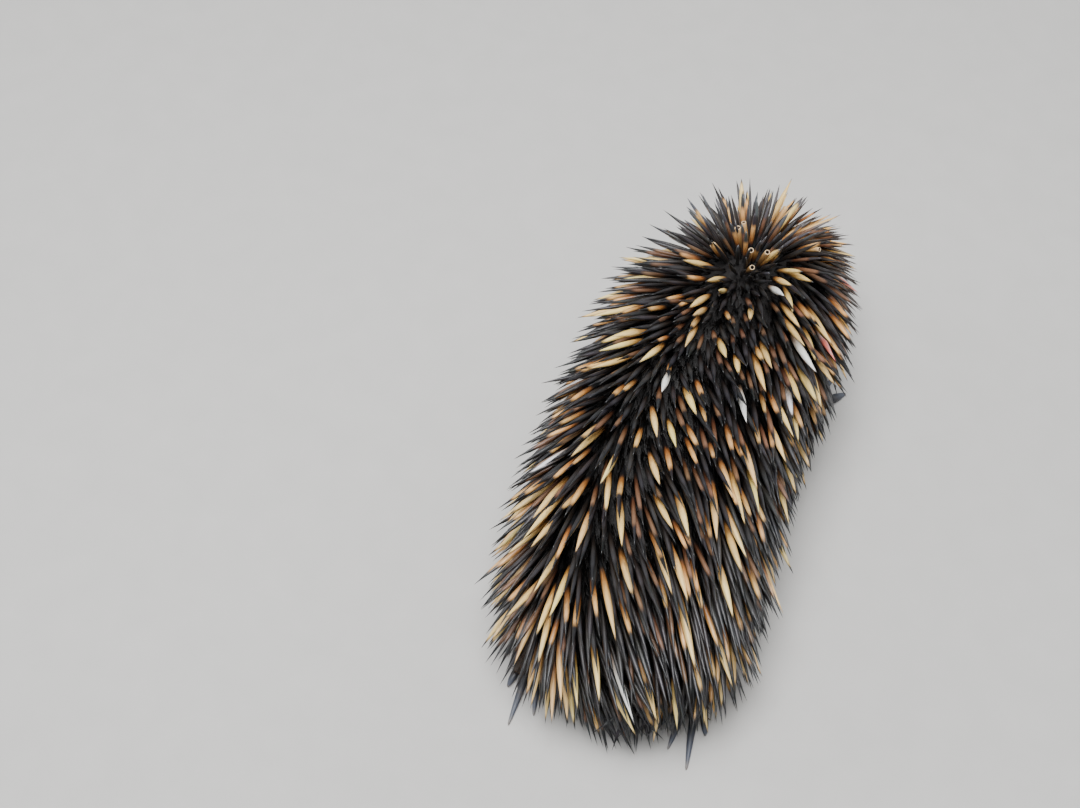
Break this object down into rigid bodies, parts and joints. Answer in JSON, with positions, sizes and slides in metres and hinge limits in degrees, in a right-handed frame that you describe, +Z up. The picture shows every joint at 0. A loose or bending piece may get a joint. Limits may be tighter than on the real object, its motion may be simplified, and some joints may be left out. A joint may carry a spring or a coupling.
{
  "type": "echidna model",
  "caption": "Short-beaked echidna as a still, life-size model, hunched over its forefeet with the beak to the ground and a dense coat of spines",
  "frame": {"origin": "on the floor under the middle of the whole animal's bounding box", "axes": "+Z is up, the animal faces -Y and its own left side is +X, and +Y is the longest extent"},
  "size_m": [0.196, 0.44, 0.1718],
  "materials": {
    "spines": "satin horn, charcoal with cream and tan bands",
    "fur": "coarse dark brown hair over skin",
    "beak_skin": "bare finely wrinkled dark grey skin",
    "ear_skin": "soft bare brown skin",
    "eye": "wet gloss",
    "claw": "worn blue-grey horn"
  },
  "bodies": {
    "root": {"torso": "spines", "neck": "spines", "tail": "spines", "head": "fur", "beak": "beak_skin", "eye_left": "eye", "eye_right": "eye", "ear_left": "ear_skin", "ear_right": "ear_skin", "fore_leg_left": "fur", "fore_leg_right": "fur", "hind_leg_left": "fur", "hind_leg_right": "fur", "fore_claw_left_1": "claw", "fore_claw_left_2": "claw", "fore_claw_left_3": "claw", "fore_claw_left_4": "claw", "fore_claw_left_5": "claw", "fore_claw_right_1": "claw", "fore_claw_right_2": "claw", "fore_claw_right_3": "claw", "fore_claw_right_4": "claw", "fore_claw_right_5": "claw", "hind_claw_left_1": "claw", "hind_claw_left_2": "claw", "hind_claw_left_3": "claw", "hind_claw_left_4": "claw", "hind_claw_left_5": "claw", "hind_claw_right_1": "claw", "hind_claw_right_2": "claw", "hind_claw_right_3": "claw", "hind_claw_right_4": "claw", "hind_claw_right_5": "claw"}
  },
  "joints": []
}
